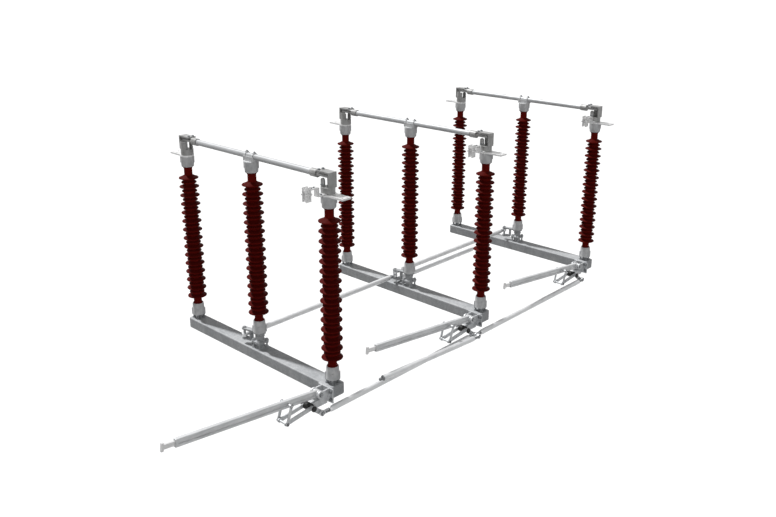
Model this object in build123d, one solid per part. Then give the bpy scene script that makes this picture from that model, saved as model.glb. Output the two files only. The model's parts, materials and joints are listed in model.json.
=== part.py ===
from build123d import *
import math
import os

os.makedirs("parts", exist_ok=True)

# Frame: millimetres, origin under the middle of the centre pole's beam,
# X along the beams toward the earthing gear, Y from pole to pole, Z up.

# Layout of the three poles
post_offset = 910.0
pole_air_gap = 335.0
overrun = 20.0
pin_clearance = 1.0
open_pivot_gap = 0.3

# Base beams
beam_overhang = 65.0
beam_width = 140.0
beam_height = 100.0
beam_wall = 6.0
beam_corner = 10.0
beam_end_corner = 20.0
beam_bolt_radius = 9.0
beam_bolt_spacing_x = 200.0
beam_bolt_spacing_y = 90.0
beam_bolt_offset = 600.0

# Insulators and their metal end fittings
post_height = 1500.0
shed_pitch = 80.0
shed_radius = 86.0
small_shed_radius = 67.0
shed_valley_radius = 48.0
shed_rim = 7.0
shed_under = 13.0
shed_over = 22.0
core_radius = 36.0
first_shed_height = 183.0
last_shed_gap = 104.0
foot_fitting_height = 109.0
foot_fitting_radius = 56.0
head_fitting_height = 93.0
head_fitting_radius = 57.0
fitting_neck_radius = 49.0
fitting_shoulder = 10.0
fitting_rib_radius = 61.0
fitting_rib_thickness = 15.0
fitting_rib_height = 58.0
fitting_socket_depth = 60.0

# Levelling studs under the fixed posts
stud_radius = 8.0
stud_height = 40.0
stud_ring_radius = 44.0
nut_radius = 14.0
nut_height = 13.0
nut_sides = 6

# Turning bearing of the centre post
rotor_raise = 108.0
bearing_radius = 36.0
bearing_top_gap = 8.0
bearing_flange_level = 52.0
bearing_flange_thickness = 14.0
bearing_flange_side = 114.0
bearing_flange_corner = 17.0
bearing_stud_spread = 40.0
bearing_stud_height = 84.0
spindle_radius = 20.0
spindle_depth = 70.0

# Operating lever of the centre post
lever_thickness = 14.0
lever_hub_radius = 52.0
lever_reach = 165.0
lever_end_radius = 24.0
lever_angle = 194.0
clevis_web_reach = 86.0
clevis_web_thickness = 12.0
clevis_web_width = 44.0
clevis_opening = 76.0
clevis_plate_thickness = 12.0
lever_pin_radius = 11.0
lever_pin_head = 12.0

# Rods between the poles
rod_radius = 24.0
rod_neck_radius = 13.5
rod_neck_length = 90.0
rod_taper = 22.0
rod_eye_radius = 24.0
rod_eye_thickness = 26.0
near_rod_level = 178.0
far_rod_level = 214.0
drive_rod_level = 131.0
drive_rod_length = 1290.0

# Blade across the three posts
saddle_height = 14.0
saddle_length = 124.0
saddle_width = 66.0
blade_radius = 25.0
blade_wall = 5.0
blade_end_setback = 125.0
strap_offset = 48.0
strap_width = 12.0
strap_thickness = 6.0
blade_end_radius = 32.0
blade_end_overlap = 55.0
blade_end_cap = 12.0
tongue_past_post = 20.0
tongue_width = 50.0
tongue_thickness = 18.0

# Terminal plates on the fixed posts
terminal_thickness = 14.0
terminal_disc_radius = 60.0
terminal_reach = 190.0
terminal_width = 90.0
terminal_hole_radius = 7.0
terminal_hole_spacing = 50.0
terminal_hole_margin = 20.0

# Fixed contacts
contact_plate = 10.0
contact_radius = 55.0
contact_setback = 8.0
contact_base_height = 50.0
contact_shell_start = -44.0
contact_half_width = 38.0
contact_end_gap = 17.0
contact_hood_reach = 98.0
contact_gap = 7.0
contact_hood_gap = 16.0
contact_pad_half_width = 28.0
contact_finger_width = 40.0
contact_finger_middle = -34.0
contact_finger_offset = 20.0

# Earthing gear: pivots as (y, z) from the pole's beam centre line
arm_pivot = (-168.0, 70.0)
crank_pivot = (-262.0, -4.0)
crank_pin = (-518.0, -32.0)
arm_tilt = 6.8
arm_stop = 88.3
link_reach = 308.0
arm_tip_rise = 6.0
arm_width = 32.0
arm_height = 62.0
arm_wall = 4.0
arm_tip_length = 105.0
arm_tip_travel = 204.0
arm_tip_inside = 270.0
arm_tip_clearance = 0.6
arm_guide_length = 50.0
arm_tip_thickness = 16.0
arm_tip_width = 34.0
arm_tee_length = 62.0
arm_tee_width = 20.0
arm_boss_radius = 32.0
arm_boss_width = 55.0
arm_pin_radius = 12.0
crank_bar_offset = 39.0
crank_bar_thickness = 10.0
crank_bar_width = 34.0
crank_shaft_radius = 16.0
crank_shaft_start = 52.0
link_offset = 53.5
link_thickness = 8.0
link_width = 24.0
link_pin_radius = 10.0
lever_arm = (67.0, -56.0)
lever_arm_offset = 54.0
lever_arm_thickness = 12.0
lever_arm_width = 40.0
earth_pin_radius = 11.0
earth_rod_offsets = {"near": 84.0, "far": 102.0, "drive": 140.0}
earth_eye_thickness = 16.0
earth_neck_width = 30.0
earth_drive_length = 1300.0
earth_drive_tilt = 3.4

# Earthing bracket on the beam
bracket_plate_thickness = 12.0
bracket_half_width = 82.0
bracket_top = 96.0
bracket_bottom = -26.0
bracket_lug_thickness = 12.0
bracket_lug_offset = 42.0
bracket_lug_radius = 34.0
bracket_rib_half_width = 22.0
bracket_rib_top = 18.0
bracket_rib_bottom = -40.0
bracket_boss_radius = 30.0

# Earthing contact beside the fixed post's head
earth_plate_thickness = 10.0
earth_plate_half_width = 24.0
earth_plate_start = 42.0
earth_horn_setback = 44.0
earth_horn_height = 62.0
earth_finger_count = 3
earth_finger_gap = 14.0
earth_finger_thickness = 8.0
earth_finger_width = 13.0
earth_finger_pitch = 19.0
earth_finger_drop = 20.0
earth_finger_rise = 18.0

# Levels that follow from the sizes above
post_foot = beam_height + stud_height
post_top = post_foot + post_height
rotor_foot = post_foot + rotor_raise
rotor_top = rotor_foot + post_height
blade_level = rotor_top + saddle_height + blade_radius
terminal_top = post_top + terminal_thickness
lever_bottom = rotor_foot - lever_thickness

# Lengths and counts that follow from the sizes above
shed_reach = post_height - head_fitting_height - last_shed_gap - first_shed_height
shed_count = 1 + round(shed_reach / shed_pitch)
beam_length = 2 * (post_offset + beam_overhang)
blade_half_length = post_offset - blade_end_setback
tongue_reach = post_offset + tongue_past_post
contact_wall_offset = tongue_past_post + contact_end_gap
arm_closed_reach = terminal_top + arm_tip_rise - arm_pivot[1]
arm_reach = arm_closed_reach - arm_tip_travel
arm_tube_end = arm_reach - arm_tip_length
closed_tip_y = arm_pivot[0] - arm_closed_reach * math.cos(math.radians(arm_stop))
pole_spacing = arm_closed_reach + pole_air_gap
pole_places = {"1": -pole_spacing, "2": 0.0, "3": pole_spacing}
stub_lanes = {"1": "near", "2": "drive", "3": "far"}


def block(x_range, y_range, z_range):
    """Box between two limits on each axis."""
    lows = [min(limits) for limits in (x_range, y_range, z_range)]
    sizes = [abs(limits[1] - limits[0]) for limits in (x_range, y_range, z_range)]
    return Pos(*lows) * Box(*sizes, align=(Align.MIN, Align.MIN, Align.MIN))


def bar_z(x, y, z_low, z_high, radius):
    """Round bar standing along Z."""
    bar = Cylinder(radius, z_high - z_low, align=(Align.CENTER, Align.CENTER, Align.MIN))
    return Pos(x, y, z_low) * bar


def bar_x(x_low, x_high, y, z, radius):
    """Round bar lying along X."""
    bar = Cylinder(radius, x_high - x_low, align=(Align.CENTER, Align.CENTER, Align.MIN))
    return Pos(x_low, y, z) * Rot(0, 90, 0) * bar


def bar_y(x, y_low, y_high, z, radius):
    """Round bar lying along Y."""
    bar = Cylinder(radius, y_high - y_low, align=(Align.CENTER, Align.CENTER, Align.MIN))
    return Pos(x, y_low, z) * Rot(-90, 0, 0) * bar


def taper_y(x, y_low, y_high, z, low_radius, high_radius):
    """Round taper lying along Y."""
    cone = Cone(low_radius, high_radius, y_high - y_low, align=(Align.CENTER, Align.CENTER, Align.MIN))
    return Pos(x, y_low, z) * Rot(-90, 0, 0) * cone


def nut(x, y, z_low):
    """Plain hexagon nut standing on a level."""
    profile = Pos(x, y, z_low) * RegularPolygon(nut_radius, nut_sides)
    return extrude(profile, nut_height)


def flat_bar_yz(start, end, width, x_low, x_high):
    """Flat bar with round ends between two (y, z) points, thick along X."""
    length = math.dist(start, end)
    turn = math.degrees(math.atan2(end[1] - start[1], end[0] - start[0]))
    bar = block((x_low, x_high), (0, length), (-width / 2, width / 2))
    bar = Pos(0, start[0], start[1]) * Rot(turn, 0, 0) * bar
    for y, z in (start, end):
        bar += bar_x(x_low, x_high, y, z, width / 2)
    return bar


def arm_point(reach):
    """Point on the earthing arm's axis at a reach from its pivot."""
    tilt = math.radians(arm_tilt)
    return (arm_pivot[0] - reach * math.cos(tilt), arm_pivot[1] + reach * math.sin(tilt))


def base_beam():
    """Closed hollow beam with round edges and bolt holes through its underside."""
    beam = extrude(RectangleRounded(beam_length, beam_width, beam_end_corner), beam_height)
    rims = beam.edges().group_by(Axis.Z)
    beam = fillet(rims[0] + rims[-1], beam_corner)
    hollow = RectangleRounded(beam_length - 2 * beam_wall, beam_width - 2 * beam_wall,
                              beam_end_corner - beam_wall)
    beam -= Pos(0, 0, beam_wall) * extrude(hollow, beam_height - 2 * beam_wall)
    for side in (-1, 1):
        for x_side in (-1, 1):
            for y_side in (-1, 1):
                x = side * beam_bolt_offset + x_side * beam_bolt_spacing_x / 2
                y = y_side * beam_bolt_spacing_y / 2
                beam -= bar_z(x, y, -overrun, beam_wall + overrun, beam_bolt_radius)
    return beam


def shed_column():
    """Insulator body with large and small sheds in turn, standing on the foot of its bottom fitting."""
    column_low = foot_fitting_height - fitting_socket_depth
    column_high = post_height - head_fitting_height + fitting_socket_depth
    points = [(0, column_low), (core_radius, column_low), (core_radius, first_shed_height - shed_under)]
    for index in range(2 * shed_count - 1):
        rim = first_shed_height + index * shed_pitch / 2
        radius = small_shed_radius if index % 2 else shed_radius
        points.append((shed_valley_radius, rim - shed_under))
        points.append((radius, rim - shed_rim / 2))
        points.append((radius, rim + shed_rim / 2))
        points.append((shed_valley_radius, rim + shed_over))
    points += [(core_radius, rim + shed_over), (core_radius, column_high), (0, column_high)]
    profile = make_face(Polyline(*points, close=True))
    return revolve(Plane.XZ * profile, Axis.Z)


def end_fitting(end_radius, height):
    """Cast end fitting on its flange, with four ribs and a socket for the insulator body."""
    lip_radius = fitting_neck_radius - fitting_shoulder
    profile = make_face(Polyline((0, 0), (end_radius, 0), (fitting_neck_radius, height - fitting_shoulder),
                                 (lip_radius, height), (0, height), close=True))
    fitting = revolve(Plane.XZ * profile, Axis.Z)
    half = fitting_rib_thickness / 2
    rib = block((0, fitting_rib_radius), (-half, half), (0, fitting_rib_height))
    for quarter in range(4):
        fitting += Rot(0, 0, 45 + 90 * quarter) * rib
    return fitting - bar_z(0, 0, height - fitting_socket_depth, height + overrun, core_radius)


def foot_fitting():
    """Bottom fitting of an insulator."""
    return end_fitting(foot_fitting_radius, foot_fitting_height)


def head_fitting():
    """Top fitting of an insulator."""
    fitting = end_fitting(head_fitting_radius, head_fitting_height)
    return Pos(0, 0, post_height) * Rot(180, 0, 0) * fitting


def levelling_studs():
    """Four studs with nuts between a fixed post and its beam."""
    studs = []
    for quarter in range(4):
        angle = math.radians(45 + 90 * quarter)
        x = stud_ring_radius * math.cos(angle)
        y = stud_ring_radius * math.sin(angle)
        stud = bar_z(x, y, 0, stud_height, stud_radius)
        stud += nut(x, y, 0)
        stud += nut(x, y, stud_height - nut_height)
        studs.append(stud)
    return studs


def bearing():
    """Bearing housing held above the beam on four studs."""
    height = lever_bottom - bearing_top_gap - beam_height
    body = bar_z(0, 0, 0, height, bearing_radius)
    flange = extrude(RectangleRounded(bearing_flange_side, bearing_flange_side, bearing_flange_corner),
                     bearing_flange_thickness)
    body += Pos(0, 0, bearing_flange_level) * flange
    for x_side in (-1, 1):
        for y_side in (-1, 1):
            x = x_side * bearing_stud_spread
            y = y_side * bearing_stud_spread
            body += bar_z(x, y, 0, bearing_stud_height, stud_radius)
            for low in (0, bearing_flange_level - nut_height, bearing_flange_level + bearing_flange_thickness):
                body += nut(x, y, low)
    bore_low = height - spindle_depth
    body -= bar_z(0, 0, bore_low, height + overrun, spindle_radius + pin_clearance)
    return Pos(0, 0, beam_height) * body


def lever_pin_place():
    """Plan position of the lever's pin."""
    angle = math.radians(lever_angle)
    return (lever_reach * math.cos(angle), lever_reach * math.sin(angle))


def rotor_lever(pin_low):
    """Lever with a clevis end and pin, clamped under the centre post."""
    plate = bar_z(0, 0, lever_bottom, rotor_foot, lever_hub_radius)
    plate += block((0, lever_reach), (-lever_end_radius, lever_end_radius), (lever_bottom, rotor_foot))
    plate += bar_z(lever_reach, 0, lever_bottom, rotor_foot, lever_end_radius)
    plate_low = lever_bottom - clevis_opening - clevis_plate_thickness
    plate_high = plate_low + clevis_plate_thickness
    web_end = clevis_web_reach + clevis_web_thickness
    half = lever_end_radius
    web_half = clevis_web_width / 2
    plate += block((clevis_web_reach, web_end), (-web_half, web_half), (plate_low, lever_bottom))
    plate += block((clevis_web_reach, lever_reach), (-web_half, web_half), (plate_low, plate_high))
    plate += bar_z(lever_reach, 0, plate_low, plate_high, half)
    plate += bar_z(lever_reach, 0, pin_low, rotor_foot + lever_pin_head, lever_pin_radius)
    spindle_low = lever_bottom - bearing_top_gap - spindle_depth + bearing_top_gap
    plate += bar_z(0, 0, spindle_low, lever_bottom, spindle_radius)
    return Rot(0, 0, lever_angle) * plate


def rod_eye_z(x, y, level):
    """Eye of a rod around a standing pin."""
    low = level - rod_eye_thickness / 2
    return bar_z(x, y, low, low + rod_eye_thickness, rod_eye_radius)


def rod_shaft(y_start, y_end, eyes):
    """Pipe along Y that tapers to a slim neck at each end that holds an eye."""
    pipe_start = y_start
    pipe_end = y_end
    shaft = bar_y(0, y_start, y_end, 0, rod_neck_radius)
    if y_start in eyes:
        pipe_start += rod_neck_length
        shaft += taper_y(0, pipe_start - rod_taper, pipe_start, 0, rod_neck_radius, rod_radius)
    if y_end in eyes:
        pipe_end -= rod_neck_length
        shaft += taper_y(0, pipe_end, pipe_end + rod_taper, 0, rod_radius, rod_neck_radius)
    return shaft + bar_y(0, pipe_start, pipe_end, 0, rod_radius)


def main_rod(y_start, y_end, level, eyes):
    """Rod between lever pins, with an eye at each pin it holds."""
    x, y_pin = lever_pin_place()
    rod = Pos(x, y_pin, level) * rod_shaft(y_start, y_end, eyes)
    for y in eyes:
        rod += rod_eye_z(x, y + y_pin, level)
    for y in eyes:
        rod -= bar_z(x, y + y_pin, level - rod_eye_thickness, level + rod_eye_thickness,
                     lever_pin_radius + pin_clearance)
    return rod


def blade_tube():
    """Round tube of the blade."""
    tube = bar_x(-blade_half_length, blade_half_length, 0, blade_level, blade_radius)
    return tube - bar_x(-blade_half_length - overrun, blade_half_length + overrun, 0, blade_level,
                        blade_radius - blade_wall)


def blade_clamp():
    """Saddle on the centre post's head with two straps over the tube."""
    half_length = saddle_length / 2
    half_width = saddle_width / 2
    clamp = block((-half_length, half_length), (-half_width, half_width), (rotor_top, blade_level))
    for side in (-1, 1):
        low = side * strap_offset - strap_width / 2
        clamp += bar_x(low, low + strap_width, 0, blade_level, blade_radius + strap_thickness)
    return clamp - bar_x(-half_length - overrun, half_length + overrun, 0, blade_level, blade_radius)


def blade_end(side):
    """Casting on one end of the tube with the flat contact tongue."""
    inner = blade_half_length - blade_end_overlap
    outer = blade_half_length + blade_end_cap
    end = bar_x(inner, outer, 0, blade_level, blade_end_radius)
    end -= bar_x(inner - overrun, blade_half_length, 0, blade_level, blade_radius)
    half_thickness = tongue_thickness / 2
    end += block((blade_half_length, tongue_reach), (-tongue_width / 2, tongue_width / 2),
                 (blade_level - half_thickness, blade_level + half_thickness))
    return end if side > 0 else Rot(0, 0, 180) * end


def terminal_plate():
    """Plate on a post's head with a palm that reaches outward along X."""
    plate = bar_z(0, 0, post_top, terminal_top, terminal_disc_radius)
    half = terminal_width / 2
    plate += block((0, terminal_reach), (-half, half), (post_top, terminal_top))
    for step in (0, 1):
        for y_side in (-1, 1):
            x = terminal_reach - terminal_hole_margin - step * terminal_hole_spacing
            plate -= bar_z(x, y_side * terminal_hole_spacing / 2, post_top - overrun,
                           terminal_top + overrun, terminal_hole_radius)
    return plate


def contact_finger(top):
    """Upright contact finger with a round top on the turret's open side."""
    radius = contact_finger_width / 2
    low = terminal_top + contact_base_height
    y_low = -contact_finger_offset - contact_plate
    finger = block((contact_finger_middle - radius, contact_finger_middle + radius),
                   (y_low, -contact_finger_offset), (low, top - radius))
    return finger + bar_y(contact_finger_middle, y_low, -contact_finger_offset, top - radius, radius)


def fixed_contact():
    """Round turret open toward the side the blade leaves, with a finger and a hood."""
    half = contact_half_width
    base_top = terminal_top + contact_base_height
    shell_top = blade_level - tongue_thickness / 2 - contact_gap
    hood_low = blade_level + tongue_thickness / 2 + contact_hood_gap
    hood_top = hood_low + contact_plate
    wall_end = contact_wall_offset + contact_plate
    turret = bar_z(-contact_setback, 0, terminal_top, shell_top, contact_radius)
    turret -= bar_z(-contact_setback, 0, base_top, shell_top + overrun, contact_radius - contact_plate)
    reach = contact_radius + contact_setback + overrun
    turret -= block((-reach, reach), (-reach, 0), (base_top, shell_top + overrun))
    turret -= block((-reach, contact_shell_start), (-reach, reach), (base_top, shell_top + overrun))
    turret += contact_finger(shell_top)
    turret += block((contact_wall_offset, wall_end), (-half, half), (base_top, hood_top))
    turret += block((-contact_hood_reach, wall_end), (-half, half), (hood_low, hood_top))
    pad = contact_pad_half_width
    pad_low = blade_level + tongue_thickness / 2 + contact_gap
    turret += block((-contact_radius, contact_wall_offset), (-pad, pad), (pad_low, hood_low))
    return turret


def earth_contact():
    """Stepped bar beside a post's head with two banks of fingers for the arm's tip."""
    half = earth_plate_half_width
    foot_top = terminal_top + earth_plate_thickness
    horn_y = arm_pivot[0] + earth_horn_setback
    horn_top = foot_top + earth_horn_height
    bar_low = horn_top - earth_plate_thickness
    contact = block((-half, half), (horn_y, -earth_plate_start), (terminal_top, foot_top))
    contact -= bar_z(-contact_setback, 0, terminal_top - overrun, foot_top + overrun, contact_radius)
    contact += block((-half, half), (horn_y, horn_y + earth_plate_thickness), (terminal_top, horn_top))
    bank_half = (earth_finger_count - 1) * earth_finger_pitch / 2 + earth_finger_width / 2
    holder_half = earth_finger_gap + earth_finger_thickness / 2
    contact += block((-holder_half, holder_half), (closed_tip_y - bank_half, horn_y), (bar_low, horn_top))
    for side in (-1, 1):
        inner = side * earth_finger_gap
        outer = side * (earth_finger_gap + earth_finger_thickness)
        for index in range(earth_finger_count):
            low = closed_tip_y - bank_half + index * earth_finger_pitch
            contact += block((inner, outer), (low, low + earth_finger_width),
                             (terminal_top - earth_finger_drop, horn_top + earth_finger_rise))
    return contact


def earth_bracket():
    """Bracket on the beam's side with lugs for the arm and a bearing for the crank."""
    face = -beam_width / 2
    front = face - bracket_plate_thickness
    bracket = block((-bracket_half_width, bracket_half_width), (front, face), (bracket_bottom, bracket_top))
    for side in (-1, 1):
        low = side * bracket_lug_offset - bracket_lug_thickness / 2
        high = low + bracket_lug_thickness
        bracket += block((low, high), (arm_pivot[0], front),
                         (arm_pivot[1] - bracket_lug_radius, bracket_top))
        bracket += bar_x(low, high, arm_pivot[0], arm_pivot[1], bracket_lug_radius)
    pin_end = bracket_lug_offset + bracket_lug_thickness
    bracket += bar_x(-pin_end, pin_end, arm_pivot[0], arm_pivot[1], arm_pin_radius)
    half = bracket_rib_half_width
    bracket += block((-half, half), (crank_pivot[0], front), (bracket_rib_bottom, bracket_rib_top))
    bracket += bar_x(-half, half, crank_pivot[0], crank_pivot[1], bracket_boss_radius)
    bracket -= bar_x(-half - overrun, half + overrun, crank_pivot[0], crank_pivot[1],
                     crank_shaft_radius + pin_clearance)
    return bracket


def on_arm(shape):
    """Puts a shape drawn along -Y from the pivot at the arm's place."""
    return Pos(0, *arm_pivot) * Rot(-arm_tilt, 0, 0) * shape


def earth_arm():
    """Tall tube with a pivot eye, link pins and a guide for the sliding tip."""
    half_x = arm_width / 2
    half_z = arm_height / 2
    inner_x = half_x - arm_wall
    inner_z = half_z - arm_wall
    arm = block((-half_x, half_x), (-arm_tube_end, 0), (-half_z, half_z))
    arm -= block((-inner_x, inner_x), (-arm_tube_end + arm_guide_length, -arm_boss_radius),
                 (-inner_z, inner_z))
    slot_x = arm_tip_thickness / 2 + arm_tip_clearance
    slot_z = arm_tip_width / 2 + arm_tip_clearance
    arm -= block((-slot_x, slot_x), (-arm_tube_end - overrun, -arm_tube_end + arm_guide_length + overrun),
                 (-slot_z, slot_z))
    boss = arm_boss_width / 2
    arm += bar_x(-boss, boss, 0, 0, arm_boss_radius)
    arm -= bar_x(-boss - overrun, boss + overrun, 0, 0, arm_pin_radius + pin_clearance)
    link_pin_end = link_offset + link_thickness
    arm += bar_x(-link_pin_end, link_pin_end, -link_reach, 0, link_pin_radius)
    return on_arm(arm)


def earth_tip():
    """Flat contact bar with a cross piece that slides out of the arm's end."""
    half_x = arm_tip_thickness / 2
    half_z = arm_tip_width / 2
    tip = block((-half_x, half_x), (-arm_reach, -arm_tube_end + arm_tip_inside), (-half_z, half_z))
    tip += block((-half_x, half_x), (-arm_reach, -arm_reach + arm_tee_width),
                 (-arm_tee_length / 2, arm_tee_length / 2))
    return on_arm(tip)


def earth_crank(lane):
    """Shaft with two crank bars, their pin, the operating lever and a stub out to a rod's lane."""
    shaft_end = lever_arm_offset + lever_arm_thickness
    crank = bar_x(-crank_shaft_start, shaft_end, *crank_pivot, crank_shaft_radius)
    for side in (-1, 1):
        low = side * crank_bar_offset - crank_bar_thickness / 2
        crank += flat_bar_yz(crank_pivot, crank_pin, crank_bar_width, low, low + crank_bar_thickness)
    pin_end = link_offset - link_thickness / 2 - open_pivot_gap
    crank += bar_x(-pin_end, pin_end, *crank_pin, link_pin_radius)
    lever_end = (crank_pivot[0] + lever_arm[0], crank_pivot[1] + lever_arm[1])
    crank += flat_bar_yz(crank_pivot, lever_end, lever_arm_width, lever_arm_offset, shaft_end)
    stub_end = earth_rod_offsets[lane] + earth_eye_thickness
    crank += bar_x(lever_arm_offset, stub_end, *lever_end, earth_pin_radius)
    return crank


def earth_links():
    """Two struts from the crank pin up to the arm."""
    top = arm_point(link_reach)
    links = []
    for side in (-1, 1):
        low = side * link_offset - link_thickness / 2
        high = low + link_thickness
        link = flat_bar_yz(crank_pin, top, link_width, low, high)
        link -= bar_x(low - overrun, high + overrun, *top, link_pin_radius + pin_clearance)
        links.append(link)
    return links


def flat_neck_shaft(y_start, y_end, eyes):
    """Pipe along Y with a flat neck at each end that holds an eye."""
    flat_x = (-earth_eye_thickness / 2, earth_eye_thickness / 2)
    flat_z = (-earth_neck_width / 2, earth_neck_width / 2)
    pipe_start = y_start
    pipe_end = y_end
    if y_start in eyes:
        pipe_start += rod_neck_length
    if y_end in eyes:
        pipe_end -= rod_neck_length
    shaft = bar_y(0, pipe_start, pipe_end, 0, rod_radius)
    if y_start in eyes:
        shaft += block(flat_x, (y_start, pipe_start), flat_z)
        shaft += taper_y(0, pipe_start - rod_taper, pipe_start, 0, rod_neck_radius, rod_radius)
    if y_end in eyes:
        shaft += block(flat_x, (pipe_end, y_end), flat_z)
        shaft += taper_y(0, pipe_end, pipe_end + rod_taper, 0, rod_radius, rod_neck_radius)
    return shaft


def earth_rod(y_start, y_end, lane, eyes, tilt=0.0):
    """Rod between crank stubs, with an eye at each stub it holds."""
    x = post_offset + earth_rod_offsets[lane]
    y_pin = crank_pivot[0] + lever_arm[0]
    level = crank_pivot[1] + lever_arm[1]
    low = x - earth_eye_thickness / 2
    high = low + earth_eye_thickness
    rod = Pos(x, y_pin, level) * Rot(tilt, 0, 0) * flat_neck_shaft(y_start, y_end, eyes)
    for y in eyes:
        rod += bar_x(low, high, y + y_pin, level, rod_eye_radius)
    for y in eyes:
        rod -= bar_x(low - overrun, high + overrun, y + y_pin, level, earth_pin_radius + pin_clearance)
    return rod


def save(name, solids):
    """Write one named node."""
    shape = solids[0] if len(solids) == 1 else Compound(children=solids)
    export_step(shape, "parts/" + name + ".step")


def at_posts(shape, y):
    """Copies of a shape on the two fixed posts of a pole, the far one turned round."""
    near = Pos(post_offset, y, 0) * shape
    far = Pos(-post_offset, y, 0) * Rot(0, 0, 180) * shape
    return [near, far]


def main():
    beam = base_beam()
    column = shed_column()
    foot = foot_fitting()
    head = head_fitting()
    studs = levelling_studs()
    housing = bearing()
    tube = blade_tube()
    clamp = blade_clamp()
    plate = terminal_plate()
    jaw = fixed_contact()
    terminals = []
    jaws = []
    earth_jaws = []
    brackets = []
    for pole, y in pole_places.items():
        move = Pos(0, y, 0)
        save("base_beam_" + pole, [move * beam])
        post = Pos(0, 0, post_foot)
        save("post_insulators_" + pole, at_posts(post * column, y))
        save("post_fittings_" + pole, at_posts(post * foot, y) + at_posts(post * head, y))
        placed_studs = []
        for stud in studs:
            placed_studs += at_posts(Pos(0, 0, beam_height) * stud, y)
        save("post_studs_" + pole, placed_studs)
        save("bearing_" + pole, [move * housing])
        rotor = Pos(0, y, rotor_foot)
        save("rotor_insulator_" + pole, [rotor * column])
        save("rotor_fittings_" + pole, [rotor * foot, rotor * head])
        pin_low = lever_bottom - clevis_opening - clevis_plate_thickness - lever_pin_head
        if pole == "2":
            pin_low = drive_rod_level - rod_eye_thickness / 2
        save("rotor_lever_" + pole, [move * rotor_lever(pin_low)])
        save("blade_tube_" + pole, [move * tube])
        save("blade_clamp_" + pole, [move * clamp])
        save("blade_contacts_" + pole, [move * blade_end(1), move * blade_end(-1)])
        terminals += at_posts(plate, y)
        jaws += at_posts(jaw, y)
        gear = Pos(post_offset, y, 0)
        earth_jaws.append(gear * earth_contact())
        brackets.append(gear * earth_bracket())
        save("earth_arm_" + pole, [gear * earth_arm()])
        save("earth_tip_" + pole, [gear * earth_tip()])
        save("earth_crank_" + pole, [gear * earth_crank(stub_lanes[pole])])
        save("earth_links_" + pole, [gear * link for link in earth_links()])
    save("terminal_plates", terminals)
    save("fixed_contacts", jaws)
    save("earth_contacts", earth_jaws)
    save("earth_brackets", brackets)
    save("phase_rod_near", [main_rod(-pole_spacing, 0, near_rod_level, (-pole_spacing, 0))])
    save("phase_rod_far", [main_rod(0, pole_spacing, far_rod_level, (0, pole_spacing))])
    save("drive_rod", [main_rod(0, drive_rod_length, drive_rod_level, (0,))])
    save("earth_rod_near", [earth_rod(-pole_spacing, 0, "near", (-pole_spacing, 0))])
    save("earth_rod_far", [earth_rod(0, pole_spacing, "far", (0, pole_spacing))])
    save("earth_drive_rod", [earth_rod(-earth_drive_length, 0, "drive", (0,), -earth_drive_tilt)])


main()
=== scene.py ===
import json
import math

import bpy
from mathutils import Matrix, Vector

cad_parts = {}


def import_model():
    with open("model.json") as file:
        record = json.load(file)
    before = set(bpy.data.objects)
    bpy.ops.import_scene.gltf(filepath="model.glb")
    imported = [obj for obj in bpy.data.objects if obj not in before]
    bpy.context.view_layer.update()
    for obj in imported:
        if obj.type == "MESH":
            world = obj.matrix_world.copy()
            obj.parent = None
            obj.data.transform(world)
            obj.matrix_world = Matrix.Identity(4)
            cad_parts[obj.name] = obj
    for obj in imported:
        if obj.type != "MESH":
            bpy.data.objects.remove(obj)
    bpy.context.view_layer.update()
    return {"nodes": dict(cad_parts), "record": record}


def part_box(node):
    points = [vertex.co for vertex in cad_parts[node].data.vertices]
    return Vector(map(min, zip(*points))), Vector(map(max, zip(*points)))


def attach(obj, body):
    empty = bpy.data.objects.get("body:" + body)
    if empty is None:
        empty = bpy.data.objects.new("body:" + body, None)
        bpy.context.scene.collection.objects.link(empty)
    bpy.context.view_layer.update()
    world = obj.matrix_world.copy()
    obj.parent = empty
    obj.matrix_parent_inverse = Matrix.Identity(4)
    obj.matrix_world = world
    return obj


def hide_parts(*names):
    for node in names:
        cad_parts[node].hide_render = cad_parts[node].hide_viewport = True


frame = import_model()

nodes = frame["nodes"]
poles = ("1", "2", "3")
hinges = [joint for joint in frame["record"]["behaviour"]["joints"] if joint["type"] == "hinge"]
joint_place = {hinge["name"]: Vector(hinge["pos_m"]) for hinge in hinges}

# Places read from the frame, in metres; the middle pole stands at Y = 0
pole_y = {pole: joint_place["blade_turn_" + pole].y for pole in poles}
arm_pivot = joint_place["arm_lift_2"]
crank_pivot = joint_place["crank_turn_2"]
lever_pin = joint_place["phase_rods_swing"]
earth_pin = joint_place["earth_rods_swing"]
post_x = arm_pivot.x
beam_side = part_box("base_beam_2")[0].y
beam_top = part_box("base_beam_2")[1].z
post_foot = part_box("post_fittings_2")[0].z
post_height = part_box("post_fittings_2")[1].z - post_foot
rotor_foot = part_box("rotor_fittings_2")[0].z
terminal_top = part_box("terminal_plates")[1].z
hood_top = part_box("fixed_contacts")[1].z
strap_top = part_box("blade_clamp_2")[1].z
blade_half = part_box("blade_tube_2")[1].x
blade_level = sum(corner.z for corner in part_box("blade_tube_2")) / 2
drive_rod_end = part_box("drive_rod")[1].y

# End fittings, with outlines as shares of a height and a radius
foot_fitting_height = 0.109
foot_fitting_radius = 0.056
head_fitting_height = 0.093
head_fitting_radius = 0.057
foot_skirt_shares = ((0.532, 0.911), (0.550, 0.939), (0.936, 0.907), (0.982, 0.884), (1.005, 0.830))
head_skirt_shares = ((0.022, 1.004), (0.043, 1.026), (0.323, 1.011), (0.925, 0.951), (0.979, 0.919),
                     (1.005, 0.851))

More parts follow.
